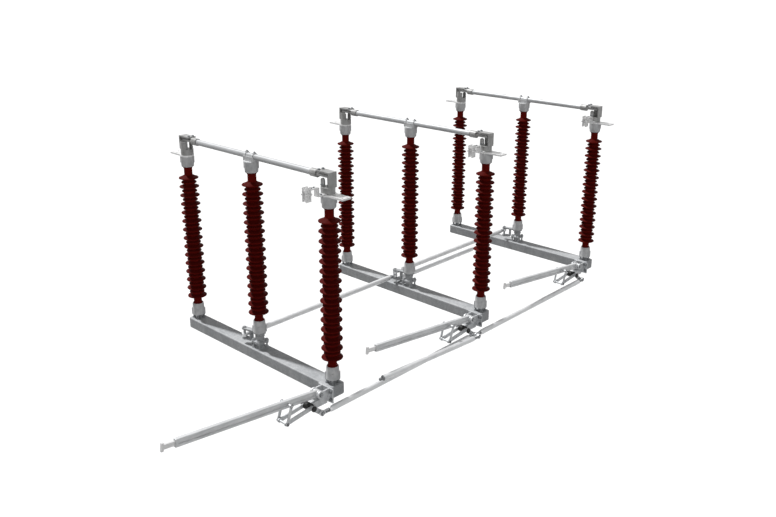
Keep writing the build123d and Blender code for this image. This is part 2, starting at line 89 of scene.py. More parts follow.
# Insulators
core_radius = 0.036
column_start = 0.050
column_end_gap = 0.040
shed_pitch = 0.080
shed_radius = 0.086
small_shed_radius = 0.067
valley_radius = 0.048
first_shed = 0.183
last_shed_gap = 0.104
shed_lead = 0.016
shed_tail = 0.005
shed_under = 0.013
shed_over = 0.022
shed_under_shares = ((1.00, 0.00), (0.74, 0.22), (0.40, 0.80), (0.16, 0.97))
shed_over_shares = ((0.06, 1.00), (0.24, 0.94), (0.50, 0.56), (0.78, 0.16), (1.00, 0.00))
shed_reach = post_height - head_fitting_height - last_shed_gap - first_shed
shed_count = 1 + round(shed_reach / shed_pitch)
column_sides = 44
column_smooth_angle = 50
flare_shares = ((-0.083, 1.208), (0.083, 1.222), (0.194, 1.167), (0.333, 1.069), (0.500, 1.006))

# Levelling studs and bearings
stud_ring = 0.044
stud_radius = 0.008
stud_nut_height = 0.010
bearing_radius = 0.036
bearing_flange_top = 0.066
bearing_stud_spread = 0.040
bearing_washer_radius = 0.0185
foot_bead_height = 0.010
foot_bead_shares = ((0.00, 1.25), (0.50, 1.222), (1.00, 1.00))
flange_bead_height = 0.007
flange_bead_shares = ((0.00, 1.194), (0.43, 1.139), (1.00, 1.00))
cap_level = 0.100
cap_height = 0.016
cap_shares = ((0.00, 1.00), (0.19, 1.125), (0.81, 1.125), (1.00, 1.00))
nipple_height = 0.020
nipple_radius = 0.007
nipple_face = 0.0395
nipple_shares = ((0.00, 1.00), (0.30, 1.00), (0.35, 0.57), (0.60, 0.57), (0.70, 0.79), (0.90, 0.71),
                 (1.00, 0.29))

# Levers and rods; levels are those of the rods' centre lines
lever_thickness = 0.014
lever_bottom = rotor_foot - lever_thickness
lever_bolt_ring = 0.0455
lever_pin_head = 0.012
long_pin_head_height = 0.007
long_pin_head_radius = 0.017
long_pin_head_shares = ((0.00, 0.88), (0.14, 1.00), (0.86, 1.00), (1.00, 0.94))
rod_radius = 0.024
rod_neck_radius = 0.0135
rod_eye_thickness = 0.026
rod_levels = {"phase_rod_near": 0.178, "phase_rod_far": 0.214, "drive_rod": 0.131}
rod_eyes = {"phase_rod_near": (("1", 1), ("2", -1)), "phase_rod_far": (("2", 1), ("3", -1)),
            "drive_rod": (("2", 1),)}
neck_thread_start = 0.022
neck_thread_end = 0.058
neck_thread_share = 1.08
lock_nut_start = 0.052
lock_nut_end = 0.067
lock_nut_radius = 0.021
rod_tip_length = 0.045
rod_tip_shares = ((-0.044, 1.000), (0.067, 0.940), (0.178, 0.700), (0.222, 0.458), (0.489, 0.375),
                  (0.556, 0.521), (0.733, 0.625), (0.911, 0.521), (1.000, 0.250))

# Earthing rods; a lane is the distance in X from the fixed post to a pole's outermost rod
earth_lanes = {"1": 0.084, "2": 0.140, "3": 0.102}
earth_eye_thickness = 0.016
earth_drive_length = 1.300
earth_drive_tilt = 3.4
neck_bolt_places = (0.036, 0.054)
neck_bead_start = 0.063
neck_bead_height = 0.011
neck_bead_radius = 0.017
neck_bead_shares = ((0.00, 0.794), (0.18, 0.97), (0.55, 1.00), (1.00, 0.94))

# Blade
strap_offset = 0.048
lug_half_length = 0.010
lug_half_width = 0.013
lug_sink = 0.006
lug_rise = 0.004
tongue_thickness = 0.018
rivet_places = (0.035, 0.060)
rivet_height = 0.0035
rivet_radius = 0.007
rivet_shares = ((0.00, 1.00), (0.57, 0.886), (1.00, 0.43))

# Fixed contacts
hood_bolt_setback = 0.080
hood_bolt_spread = 0.021
finger_bolt_places = (-0.044, -0.024)
finger_bolt_face = -0.030
finger_bolt_rise = 0.066

# Earthing arms, with angles in degrees; the tip slides out while the arm turns up
arm_tilt = 6.8
arm_stop = 88.3
tip_rise = 0.006
tip_length = 0.105
tip_travel = 0.204
arm_closed_reach = terminal_top + tip_rise - arm_pivot.z
arm_tube_end = arm_closed_reach - tip_travel - tip_length
arm_half_width = 0.016
arm_half_height = 0.031
arm_corner = 0.004
arm_groove_margin = 0.016
arm_groove_depth = 0.006
arm_mouth_margin = 0.0008
arm_mouth_depth = 0.008
arm_boss_half_width = 0.0275
arm_boss_radius = 0.032
arm_boss_ease = 0.002
pivot_bush_start = 0.026
pivot_bush_length = 0.008
pivot_bush_radius = 0.022
pivot_bush_shares = ((0.00, 1.00), (0.75, 1.00), (1.00, 0.909))

# Struts between arms and cranks
link_reach = 0.308
link_offset = 0.0535
link_thickness = 0.008
link_face = link_offset + link_thickness / 2
link_pin_half_width = 0.0615
link_pin_radius = 0.010
link_pin_ease = 0.001
link_ring_start = 0.0578
link_ring_length = 0.0034
link_ring_radius = 0.0155
link_ring_shares = ((0.000, 1.000), (0.647, 1.000), (1.000, 0.903))
crank_pin = Vector((post_x, -0.518, -0.032))

# Cranks and brackets; the lanes on each pole's stub are listed outward
bracket_thickness = 0.012
bracket_face = beam_side - bracket_thickness
bracket_bolt_spread = 0.066
bracket_bolt_levels = (0.004, 0.074)
bracket_lug_offset = 0.042
bracket_lug_face = bracket_lug_offset + bracket_thickness / 2
crank_bush_half_width = 0.032
crank_bush_radius = 0.0305
crank_bush_ease = 0.002
outer_hub_start = 0.064
outer_hub_length = 0.0125
outer_hub_radius = 0.024
outer_hub_shares = ((0.00, 1.00), (0.64, 1.00), (0.88, 0.875), (1.00, 0.50))
inner_hub_start = 0.045
inner_hub_length = 0.0165
inner_hub_radius = 0.030
inner_hub_shares = ((0.000, 1.000), (0.667, 1.000), (0.909, 0.867), (1.000, 0.467))
stub_lanes = {"1": ("1",), "2": ("1", "3", "2"), "3": ("3",)}
spacer_start = 0.066
spacer_gap = 0.0005
spacer_least = 0.002
spacer_radius = 0.0165
spacer_ease = 0.0005
stub_pin_gap = 0.0008

# Earthing contacts
earth_plate_thickness = 0.010
earth_horn_height = 0.062
horn_top = terminal_top + earth_plate_thickness + earth_horn_height
finger_bank_y = arm_pivot.y - arm_closed_reach * math.cos(math.radians(arm_stop))
finger_face = 0.022
finger_pitch = 0.019
spring_sink = 0.002
spring_rise = 0.005
spring_half_length = 0.0265
spring_bottom = 0.030
spring_top = 0.043
spring_corner = 0.0015
horn_bolt_places = (-0.148, -0.172)
foot_bolt_spread = 0.012
foot_bolt_place = -0.088

# Fasteners
m16_head = 0.0145
m16_height = 0.010
m12_head = 0.0105
m12_height = 0.008
m12_low_height = 0.005
m8_head = 0.0068
m8_height = 0.005
bolt_washer_share = 1.25
stud_washer_share = 1.2
hexagon_ease_share = 0.1
washer_height = 0.003
washer_ease = 0.001
thread_pitch = 0.003
thread_root_share = 0.9
thread_end_share = 0.8
crest_place_share = 0.3
root_place_share = 0.9
pin_radius = 0.011
pin_washer_share = 1.7
split_pin_wire = 0.0022
split_pin_ease = 0.00088
split_pin_head = 0.0044
split_pin_level = 0.00352
split_pin_length_share = 3.0

# Modelling
smooth_angle = 32
block_corner = 0.002
facing_share = 0.99
slope_share = 0.3


# Modelling steps
def deselect():
    bpy.ops.object.select_all(action="DESELECT")


def pick(obj):
    """Makes one object the only selected and active one."""
    deselect()
    obj.select_set(True)
    bpy.context.view_layer.objects.active = obj


def settle(obj):
    """Puts an object's place into its mesh and turns its faces outward."""
    pick(obj)
    bpy.ops.object.transform_apply(location=True, rotation=True, scale=True)
    bpy.ops.object.mode_set(mode="EDIT")
    bpy.ops.mesh.select_all(action="SELECT")
    bpy.ops.mesh.normals_make_consistent(inside=False)
    bpy.ops.object.mode_set(mode="OBJECT")
    return obj


def turned(rings, sides):
    """Round piece drawn up along Z from a disc through (height, radius) rings."""
    deselect()
    height, radius = rings[0]
    bpy.ops.mesh.primitive_circle_add(vertices=sides, radius=radius, fill_type="NGON",
                                      location=(0, 0, height))
    obj = bpy.context.object
    bpy.ops.object.mode_set(mode="EDIT")
    bpy.ops.mesh.select_all(action="SELECT")
    for next_height, next_radius in rings[1:]:
        rise = next_height - height
        growth = next_radius / radius
        bpy.ops.mesh.extrude_region_move(TRANSFORM_OT_translate={"value": (0, 0, rise)})
        bpy.ops.transform.resize(value=(growth, growth, 1), center_override=(0, 0, next_height))
        height, radius = next_height, next_radius
    bpy.ops.object.mode_set(mode="OBJECT")
    return settle(obj)


def shaped(shares, height, radius, sides):
    """Round piece whose rings are shares of a height and a radius."""
    return turned([(up * height, out * radius) for up, out in shares], sides)


def eased_bar(low, high, radius, ease, sides, run=None):
    """Bar along Z whose end edges ease inward over a short run."""
    run = run or ease
    narrow = radius - ease
    return turned([(low, narrow), (low + run, radius), (high - run, radius), (high, narrow)], sides)


def block(low, high, corner=block_corner, segments=2):
    """Box between two corners with its edges rounded."""
    deselect()
    low = Vector(low)
    high = Vector(high)
    bpy.ops.mesh.primitive_cube_add(size=1, location=(low + high) / 2)
    obj = bpy.context.object
    bpy.ops.transform.resize(value=high - low)
    bpy.ops.object.transform_apply(location=True, rotation=True, scale=True)
    bpy.ops.object.mode_set(mode="EDIT")
    bpy.ops.mesh.select_all(action="SELECT")
    bpy.ops.mesh.bevel(offset=corner, segments=segments, affect="EDGES")
    bpy.ops.object.mode_set(mode="OBJECT")
    return settle(obj)


def recess(obj, axis, side, margin, depth):
    """Sinks the middle of the face that looks along one axis."""
    pick(obj)
    bpy.ops.object.mode_set(mode="EDIT")
    bpy.ops.mesh.select_mode(type="FACE")
    bpy.ops.mesh.select_all(action="DESELECT")
    bpy.ops.object.mode_set(mode="OBJECT")
    for face in obj.data.polygons:
        face.select = face.normal[axis] * side > facing_share
    bpy.ops.object.mode_set(mode="EDIT")
    bpy.ops.mesh.inset(thickness=margin, depth=0)
    bpy.ops.mesh.inset(thickness=depth * slope_share, depth=-depth)
    bpy.ops.object.mode_set(mode="OBJECT")


def stamped(model, places):
    """Copies of a model at several places, each with its own mesh."""
    copies = []
    for place in places:
        twin = model.copy()
        twin.data = model.data.copy()
        twin.data.transform(place)
        bpy.context.scene.collection.objects.link(twin)
        copies.append(twin)
    return copies


def moved(piece, place):
    """The same piece with its mesh moved."""
    piece.data.transform(place)
    return piece


def joined(pieces):
    """One object from several."""
    deselect()
    for piece in pieces:
        piece.select_set(True)
    bpy.context.view_layer.objects.active = pieces[0]
    if len(pieces) > 1:
        bpy.ops.object.join()
    return bpy.context.view_layer.objects.active


def dress(pieces, name, body, material, angle=smooth_angle):
    """Joins and names a finished piece, gives it its material and lets it ride on a body."""
    obj = joined(pieces)
    obj.name = name
    obj.data.name = name
    obj.data.materials.clear()
    obj.data.materials.append(material)
    pick(obj)
    bpy.ops.object.shade_smooth_by_angle(angle=math.radians(angle))
    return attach(obj, body)


def on_poles(model, name, body, material, angle=smooth_angle):
    """Dresses a copy of a model on each pole, removes the model and gives the pieces by pole."""
    made = {}
    for pole in poles:
        rider = body if body == "frame" else body + "_" + pole
        copies = stamped(model, [shift(0, pole_y[pole], 0)])
        made[pole] = dress(copies, name + "_" + pole, rider, material, angle)
    bpy.data.objects.remove(model)
    return made


# Places
def shift(x, y, z):
    return Matrix.Translation((x, y, z))


def toward(direction):
    """Turn that takes Z to a direction."""
    return Vector((0, 0, 1)).rotation_difference(Vector(direction)).to_matrix().to_4x4()


def stand(x, y, z, direction):
    """Place at a point with Z along a direction."""
    return shift(x, y, z) @ toward(direction)


def ring_places(count, radius, height):
    """Places evenly round a circle, the first one on the diagonal, each turned to face outward."""
    places = []
    for index in range(count):
        turn = Matrix.Rotation(math.radians(45 + 360 * index / count), 4, "Z")
        places.append(turn @ shift(radius, 0, height))
    return places


def on_both_posts(places):
    """Places beside a fixed post, on the two posts of the middle pole; the far post is turned round."""
    near = shift(post_x, 0, 0)
    far = shift(-post_x, 0, 0) @ Matrix.Rotation(math.pi, 4, "Z")
    return [post @ place for post in (near, far) for place in places]


downward = toward((0, 0, -1))


# Colours and relief of the finishes
def grey(level, tint=0.0):
    """Grey with a faint blue tint."""
    return (level, level + tint / 2, level + tint)


zinc_tint = 0.02
skin_relief = 0.001
white = grey(1.0)
silicone_dark = (0.130, 0.0052, 0.0028)
silicone_light = (0.158, 0.0066, 0.0036)
# Painted shade: darker red laid on the upper faces of the sheds
silicone_painted_shade = (0.070, 0.0036, 0.0021)
tarnish_brown = (0.25, 0.247, 0.24)
tarnish_grey = (0.33, 0.33, 0.325)


# Steps that materials share
def new_material(name, metallic, specular=0.5):
    material = bpy.data.materials.new(name)
    material.use_nodes = True
    shader = material.node_tree.nodes["Principled BSDF"]
    shader.inputs["Metallic"].default_value = metallic
    shader.inputs["Specular IOR Level"].default_value = specular
    return material, material.node_tree, shader


def place_node(tree, stretch):
    """Object coordinates, stretched along the axes."""
    place = tree.nodes.new("ShaderNodeTexCoord")
    mapping = tree.nodes.new("ShaderNodeMapping")
    mapping.inputs["Scale"].default_value = stretch
    tree.links.new(place.outputs["Object"], mapping.inputs["Vector"])
    return mapping.outputs["Vector"]


def noise_node(tree, scale, detail=3.0, stretch=(1, 1, 1)):
    noise = tree.nodes.new("ShaderNodeTexNoise")
    noise.inputs["Scale"].default_value = scale
    noise.inputs["Detail"].default_value = detail
    tree.links.new(place_node(tree, stretch), noise.inputs["Vector"])
    return noise.outputs["Fac"]


def spangle_node(tree, scale):
    """Grey level that changes from crystal to crystal."""
    cells = tree.nodes.new("ShaderNodeTexVoronoi")
    cells.inputs["Scale"].default_value = scale
    tree.links.new(place_node(tree, (1, 1, 1)), cells.inputs["Vector"])
    level = tree.nodes.new("ShaderNodeRGBToBW")
    tree.links.new(cells.outputs["Color"], level.inputs["Color"])
    return level.outputs["Val"]


def ramp_node(tree, source, *stops):
    """Colour that goes through (place, colour) stops."""
    ramp = tree.nodes.new("ShaderNodeValToRGB")
    elements = ramp.color_ramp.elements
    for element, (position, colour) in zip(elements, (stops[0], stops[-1])):
        element.position = position
        element.color = (*colour, 1)
    for position, colour in stops[1:-1]:
        elements.new(position).color = (*colour, 1)
    tree.links.new(source, ramp.inputs["Fac"])
    return ramp.outputs["Color"]


def multiply_node(tree, share, first, second):
    """One colour darkened by another."""
    mix = tree.nodes.new("ShaderNodeMix")
    mix.data_type = "RGBA"
    mix.blend_type = "MULTIPLY"
    mix.inputs["Factor"].default_value = share
    tree.links.new(first, mix.inputs["A"])
    tree.links.new(second, mix.inputs["B"])
    return mix.outputs["Result"]


def cover_node(tree, share, below, colour):
    """A colour laid over another by a share that changes from place to place."""
    mix = tree.nodes.new("ShaderNodeMix")
    mix.data_type = "RGBA"
    mix.inputs["B"].default_value = (*colour, 1)
    tree.links.new(share, mix.inputs["Factor"])
    tree.links.new(below, mix.inputs["A"])
    return mix.outputs["Result"]


def range_node(tree, source, low, high):
    """A value spread between two limits."""
    scale = tree.nodes.new("ShaderNodeMapRange")
    scale.inputs["To Min"].default_value = low
    scale.inputs["To Max"].default_value = high
    tree.links.new(source, scale.inputs["Value"])
    return scale.outputs["Result"]


def bump_node(tree, shader, source, strength):
    """Fine relief of the surface."""
    bump = tree.nodes.new("ShaderNodeBump")
    bump.inputs["Strength"].default_value = strength
    bump.inputs["Distance"].default_value = skin_relief
    tree.links.new(source, bump.inputs["Height"])
    tree.links.new(bump.outputs["Normal"], shader.inputs["Normal"])


def up_node(tree, low, high):
    """Share of a face that looks upward."""
    geometry = tree.nodes.new("ShaderNodeNewGeometry")
    parts = tree.nodes.new("ShaderNodeSeparateXYZ")
    tree.links.new(geometry.outputs["Normal"], parts.inputs["Vector"])
    scale = tree.nodes.new("ShaderNodeMapRange")
    scale.inputs["From Min"].default_value = low
    scale.inputs["From Max"].default_value = high
    tree.links.new(parts.outputs["Z"], scale.inputs["Value"])
    return scale.outputs["Result"]


# Materials
def galvanised_material(name, dark, light, spangle, metallic):
    """Zinc with crystals, grey stains and faint run marks."""
    material, tree, shader = new_material(name, metallic, specular=0.20)
    crystals = ramp_node(tree, spangle_node(tree, spangle),
                         (0.0, grey(dark, zinc_tint)), (1.0, grey(light, zinc_tint)))
    stains = ramp_node(tree, noise_node(tree, scale=5.0, detail=5.0),
                       (0.35, grey(0.82, zinc_tint)), (0.65, white))
    runs = ramp_node(tree, noise_node(tree, scale=26.0, stretch=(1, 1, 0.12)),
                     (0.40, grey(0.90)), (0.60, white))
    colour = multiply_node(tree, 1.0, crystals, stains)
    colour = multiply_node(tree, 0.8, colour, runs)
    tree.links.new(colour, shader.inputs["Base Color"])
    tree.links.new(range_node(tree, noise_node(tree, scale=38.0), 0.38, 0.62), shader.inputs["Roughness"])
    bump_node(tree, shader, noise_node(tree, scale=240.0), strength=0.10)
    return material


def cast_material():
    """Galvanised casting with a coarse skin."""
    material, tree, shader = new_material("cast_fitting", metallic=0.05, specular=0.20)
    colour = ramp_node(tree, noise_node(tree, scale=22.0, detail=6.0),
                       (0.30, grey(0.56, zinc_tint)), (0.70, grey(0.74, zinc_tint / 2)))
    tree.links.new(colour, shader.inputs["Base Color"])
    tree.links.new(range_node(tree, noise_node(tree, scale=60.0), 0.45, 0.70), shader.inputs["Roughness"])
    bump_node(tree, shader, noise_node(tree, scale=320.0, detail=4.0), strength=0.22)
    return material


def silicone_material():
    """Dark red moulded silicone, with painted shade darkening the upper faces of the sheds."""
    material, tree, shader = new_material("silicone_shed", metallic=0.0, specular=0.03)
    base = ramp_node(tree, noise_node(tree, scale=9.0, detail=4.0),
                     (0.30, silicone_dark), (0.70, silicone_light))
    patches = range_node(tree, noise_node(tree, scale=16.0, detail=4.0), 0.84, 1.0)
    # Painted shade: the upward faces of the sheds are darkened, broken a little by noise
    painted_shade = tree.nodes.new("ShaderNodeMath")
    painted_shade.operation = "MULTIPLY"
    tree.links.new(patches, painted_shade.inputs[0])
    tree.links.new(up_node(tree, 0.1, 0.8), painted_shade.inputs[1])
    colour = cover_node(tree, painted_shade.outputs["Value"], base, silicone_painted_shade)
    tree.links.new(colour, shader.inputs["Base Color"])
    tree.links.new(range_node(tree, noise_node(tree, scale=30.0), 0.50, 0.66), shader.inputs["Roughness"])
    bump_node(tree, shader, noise_node(tree, scale=180.0), strength=0.05)
    return material


def bush_material():
    """Black bearing plastic, worn paler in places."""
    material, tree, shader = new_material("black_bush", metallic=0.0, specular=0.25)
    colour = ramp_node(tree, noise_node(tree, scale=70.0, detail=4.0),
                       (0.35, grey(0.006)), (0.75, grey(0.022)))
    tree.links.new(colour, shader.inputs["Base Color"])
    tree.links.new(range_node(tree, noise_node(tree, scale=90.0), 0.45, 0.70), shader.inputs["Roughness"])
    return material


def bright_material(name, dark, light, rough_low, rough_high):
    """Smooth bright metal with soft dull patches and fine scratches."""
    material, tree, shader = new_material(name, metallic=0.30)
    patches = ramp_node(tree, noise_node(tree, scale=9.0, detail=5.0), (0.35, dark), (0.65, light))
    scratches = ramp_node(tree, noise_node(tree, scale=140.0, stretch=(1, 0.08, 1)),
                          (0.40, grey(0.93)), (0.60, white))
    tree.links.new(multiply_node(tree, 1.0, patches, scratches), shader.inputs["Base Color"])
    roughness = range_node(tree, noise_node(tree, scale=40.0), rough_low, rough_high)
    tree.links.new(roughness, shader.inputs["Roughness"])
    bump_node(tree, shader, noise_node(tree, scale=120.0), strength=0.04)
    return material


def aluminium_material(name, grain, dark, light, metallic):
    """Drawn aluminium with fine lines along the piece and dull patches."""
    material, tree, shader = new_material(name, metallic, specular=0.25)
    lines = ramp_node(tree, noise_node(tree, scale=60.0, detail=4.0, stretch=grain),
                      (0.35, grey(dark, zinc_tint)), (0.65, grey(light, zinc_tint)))
    dull = ramp_node(tree, noise_node(tree, scale=7.0, detail=4.0), (0.35, grey(0.86)), (0.65, white))
    tree.links.new(multiply_node(tree, 1.0, lines, dull), shader.inputs["Base Color"])
    tree.links.new(range_node(tree, noise_node(tree, scale=45.0), 0.34, 0.55), shader.inputs["Roughness"])
    bump_node(tree, shader, noise_node(tree, scale=90.0, stretch=grain), strength=0.06)
    return material


def plated_material():
    """Silver-plated copper alloy with brownish tarnish."""
    material, tree, shader = new_material("plated_copper", metallic=0.15)
    colour = ramp_node(tree, noise_node(tree, scale=18.0, detail=5.0),
                       (0.28, tarnish_brown), (0.48, tarnish_grey), (0.75, grey(0.41)))
    tree.links.new(colour, shader.inputs["Base Color"])
    tree.links.new(range_node(tree, noise_node(tree, scale=50.0), 0.30, 0.55), shader.inputs["Roughness"])
    bump_node(tree, shader, noise_node(tree, scale=150.0), strength=0.08)
    return material


steel = galvanised_material("galvanised_steel", dark=0.42, light=0.56, spangle=85.0, metallic=0.05)
bolt_zinc = galvanised_material("bolt_zinc", dark=0.24, light=0.38, spangle=160.0, metallic=0.15)
gear_zinc = galvanised_material("gear_zinc", dark=0.62, light=0.74, spangle=110.0, metallic=0.30)
cast = cast_material()
silicone = silicone_material()
aluminium = aluminium_material("aluminium_tube", grain=(0.05, 1, 4), dark=0.50, light=0.58, metallic=0.20)
arm_aluminium = aluminium_material("aluminium_arm", grain=(4, 0.05, 1), dark=0.62, light=0.74, metallic=0.32)
plated = plated_material()
black_bush = bush_material()
rod_zinc = bright_material("rod_zinc", grey(0.77, zinc_tint), grey(0.85, zinc_tint), 0.30, 0.46)
tinned = bright_material("tinned_plate", grey(0.74), grey(0.83), 0.32, 0.50)
slot_materials = {"galvanised_steel": steel, "cast_fitting": cast, "silicone_shed": silicone,
                  "aluminium_tube": aluminium, "plated_copper": plated}
node_materials = {"terminal_plates": tinned, "earth_contacts": tinned, "earth_brackets": gear_zinc}
for rod in (*rod_levels, "earth_rod_near", "earth_rod_far", "earth_drive_rod"):
    node_materials[rod] = rod_zinc
for pole in poles:
    node_materials["earth_tip_" + pole] = tinned
    node_materials["earth_crank_" + pole] = gear_zinc
    node_materials["earth_links_" + pole] = gear_zinc


def paint_frame():
    """Gives every node of the frame its own material or the material of its slot."""
    for part in frame["record"]["subparts"]:
        name = part["node"]
        mesh = nodes[name].data
        mesh.materials.clear()
        mesh.materials.append(node_materials.get(name, slot_materials[part["material_slot"]]))


# Fasteners that other pieces copy
def hexagon(low, high, radius):
    """Hexagon with its ends eased."""
    return eased_bar(low, high, radius, hexagon_ease_share * radius, sides=6)


def thread(low, high, radius):
    """Threaded bar."""
    root = thread_root_share * radius
    rings = [(low, root)]
    for index in range(int((high - low) / thread_pitch)):
        rings.append((low + (index + crest_place_share) * thread_pitch, radius))
        rings.append((low + (index + root_place_share) * thread_pitch, root))
    rings.append((high, thread_end_share * radius))
    return turned(rings, sides=14)


def washer(low, radius):
    """Flat washer."""
    top = low + washer_height
    return turned([(low, radius), (top - washer_ease, radius), (top, radius - washer_ease)], sides=22)


def hex_bolt(head, height):
    """Washer and hexagon head on Z = 0."""
    top = washer_height + height
    return joined([washer(0, bolt_washer_share * head), hexagon(washer_height, top, head)])


def split_pin(bar):
    """Washer round a bar's end with a split pin across it, on Z = 0."""
    length = split_pin_length_share * bar
    pin = eased_bar(0, length, split_pin_wire, split_pin_ease, sides=8, run=split_pin_wire)
    head = eased_bar(0, 2 * split_pin_head, split_pin_head, split_pin_wire, sides=10)
    across = stand(0, -length / 2, washer_height + split_pin_level, (0, 1, 0))
    return joined([washer(0, pin_washer_share * bar), moved(pin, across), moved(head, across)])


def levelling_stud():
    """Levelling stud with a washer and nut at each end, standing on Z = 0."""
    height = post_foot - beam_top
    high_washer = height - washer_height
    low_nut = hexagon(washer_height, washer_height + stud_nut_height, m16_head)
    high_nut = hexagon(high_washer - stud_nut_height, high_washer, m16_head)
    washers = [washer(level, stud_washer_share * m16_head) for level in (0, high_washer)]
    return joined([low_nut, high_nut, thread(0, height, stud_radius)] + washers)


def rod_lock_nut():
    """Lock nut on the thread of a rod's eye, with the eye's centre on Z = 0."""
    nut = hexagon(lock_nut_start, lock_nut_end, lock_nut_radius)
    return joined([nut, thread(neck_thread_start, neck_thread_end, neck_thread_share * rod_neck_radius)])


m16 = hex_bolt(m16_head, m16_height)
m12 = hex_bolt(m12_head, m12_height)
m12_low = hex_bolt(m12_head, m12_low_height)
m8 = hex_bolt(m8_head, m8_height)
pin_end = split_pin(pin_radius)
lock_nut = rod_lock_nut()
rod_tip = shaped(rod_tip_shares, rod_tip_length, rod_radius, sides=24)
shared_models = (m16, m12, m12_low, m8, pin_end, lock_nut, rod_tip)


# Insulators
def shed_rings(rim, reach):
    """Rings of one rounded shed from the valley below its rim to the valley above it."""
    depth = reach - valley_radius
    under = [(rim - down * shed_under, valley_radius + out * depth) for down, out in shed_under_shares]
    over = [(rim + up * shed_over, valley_radius + out * depth) for up, out in shed_over_shares]
    return under + over


def insulator_column():
    """Core with large and small sheds in turn, standing on the foot of its bottom fitting."""
    rings = [(column_start, core_radius), (first_shed - shed_lead, core_radius)]
    for index in range(2 * shed_count - 1):
        rim = first_shed + index * shed_pitch / 2
        rings += shed_rings(rim, small_shed_radius if index % 2 else shed_radius)
    rings.append((rim + shed_over + shed_tail, core_radius))
    rings.append((post_height - column_end_gap, core_radius))
    return turned(rings, column_sides)


post_feet = [shift(side * post_x, 0, post_foot) for side in (-1, 1)]
rotor_feet = [shift(0, 0, rotor_foot)]


def insulators():
    column = insulator_column()
    pair = joined(stamped(column, post_feet))
    single = joined(stamped(column, rotor_feet))
    bpy.data.objects.remove(column)
    posts = on_poles(pair, "shed_columns", "frame", silicone, column_smooth_angle)
    rotors = on_poles(single, "rotor_column", "rotor", silicone, column_smooth_angle)
    for pole in poles:
        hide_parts("post_insulators_" + pole)
        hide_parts("rotor_insulator_" + pole)


def fitting_trim():
    """Straight skirts over the end fittings and flared ends of the silicone where it meets them."""
    upside_down = shift(0, 0, post_height) @ downward
    foot_skirt = shaped(foot_skirt_shares, foot_fitting_height, foot_fitting_radius, sides=40)
    head_skirt = shaped(head_skirt_shares, head_fitting_height, head_fitting_radius, sides=40)
    flare = shaped(flare_shares, core_radius, core_radius, sides=32)
    edges = [shift(0, 0, foot_fitting_height), upside_down @ shift(0, 0, head_fitting_height)]
    for name, body, feet in (("post", "frame", post_feet), ("rotor", "rotor", rotor_feet)):
        skirts = stamped(foot_skirt, feet) + stamped(head_skirt, [foot @ upside_down for foot in feet])
        flares = stamped(flare, [foot @ edge for foot in feet for edge in edges])
        on_poles(joined(skirts), name + "_skirts", body, cast)
        on_poles(joined(flares), name + "_flares", body, silicone)
    for model in (foot_skirt, head_skirt, flare):
        bpy.data.objects.remove(model)


# Studs and bearings on the beams
def studs():
    stud = levelling_stud()
    both = joined(stamped(stud, on_both_posts(ring_places(4, stud_ring, beam_top))))
    bpy.data.objects.remove(stud)
    made = on_poles(both, "threaded_studs", "frame", bolt_zinc)
    for pole in poles:
        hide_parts("post_studs_" + pole)


def bearings():
    """Weld beads, cap ring, grease nipple and washers of the bearing housings."""
    foot_bead = shaped(foot_bead_shares, foot_bead_height, bearing_radius, sides=32)
    flange_bead = shaped(flange_bead_shares, flange_bead_height, bearing_radius, sides=32)
    cap = shaped(cap_shares, cap_height, bearing_radius, sides=32)
    nipple = shaped(nipple_shares, nipple_height, nipple_radius, sides=12)
    ring = washer(0, bearing_washer_radius)
    corners = [(x, y) for x in (-1, 1) for y in (-1, 1)]
    places = [shift(x * bearing_stud_spread, y * bearing_stud_spread, level)
              for level in (0, bearing_flange_top) for x, y in corners]
    washers = stamped(ring, places)
    bpy.data.objects.remove(ring)
    moved(flange_bead, shift(0, 0, bearing_flange_top))
    moved(cap, shift(0, 0, cap_level))
    moved(nipple, stand(0, -nipple_face, cap_level + cap_height / 2, (0, -1, 0)))
    trim = joined([foot_bead, flange_bead, cap, nipple] + washers)
    on_poles(moved(trim, shift(0, 0, beam_top)), "bearing_trim", "frame", steel)


# Levers and rods
def long_pin_head():
    """Round head of the middle pole's pin, which also carries the drive rod's eye."""
    low = rod_levels["drive_rod"] - rod_eye_thickness / 2 - long_pin_head_height
    head = shaped(long_pin_head_shares, long_pin_head_height, long_pin_head_radius, sides=24)
    return moved(head, shift(0, 0, low))


def levers():
    """Bolts under the lever hubs, washers and split pins on the lever pins."""
    for pole in poles:
        hub = shift(0, pole_y[pole], lever_bottom)
        pin = shift(lever_pin.x, pole_y[pole] + lever_pin.y, 0)
        pieces = stamped(m8, [hub @ place @ downward for place in ring_places(4, lever_bolt_ring, 0)])
        pieces += stamped(pin_end, [pin @ stand(0, 0, rotor_foot, (0, 0, 1))])
        if pole == "2":
            pieces.append(moved(long_pin_head(), pin))
        else:
            pin_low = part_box("rotor_lever_" + pole)[0].z + lever_pin_head
            pieces += stamped(pin_end, [pin @ stand(0, 0, pin_low, (0, 0, -1))])
        dress(pieces, "lever_bolts_" + pole, "rotor_" + pole, bolt_zinc)


def main_rods():
    """Lock nuts and threads at the rods' eyes and the free end of the drive rod."""
    places = []
    for rod, level in rod_levels.items():
        for pole, side in rod_eyes[rod]:
            places.append(stand(lever_pin.x, pole_y[pole] + lever_pin.y, level, (0, side, 0)))
    free_end = stand(lever_pin.x, drive_rod_end, rod_levels["drive_rod"], (0, 1, 0))
    pieces = stamped(lock_nut, places) + stamped(rod_tip, [free_end])
    dress(pieces, "rod_nuts", "phase_rods", bolt_zinc)


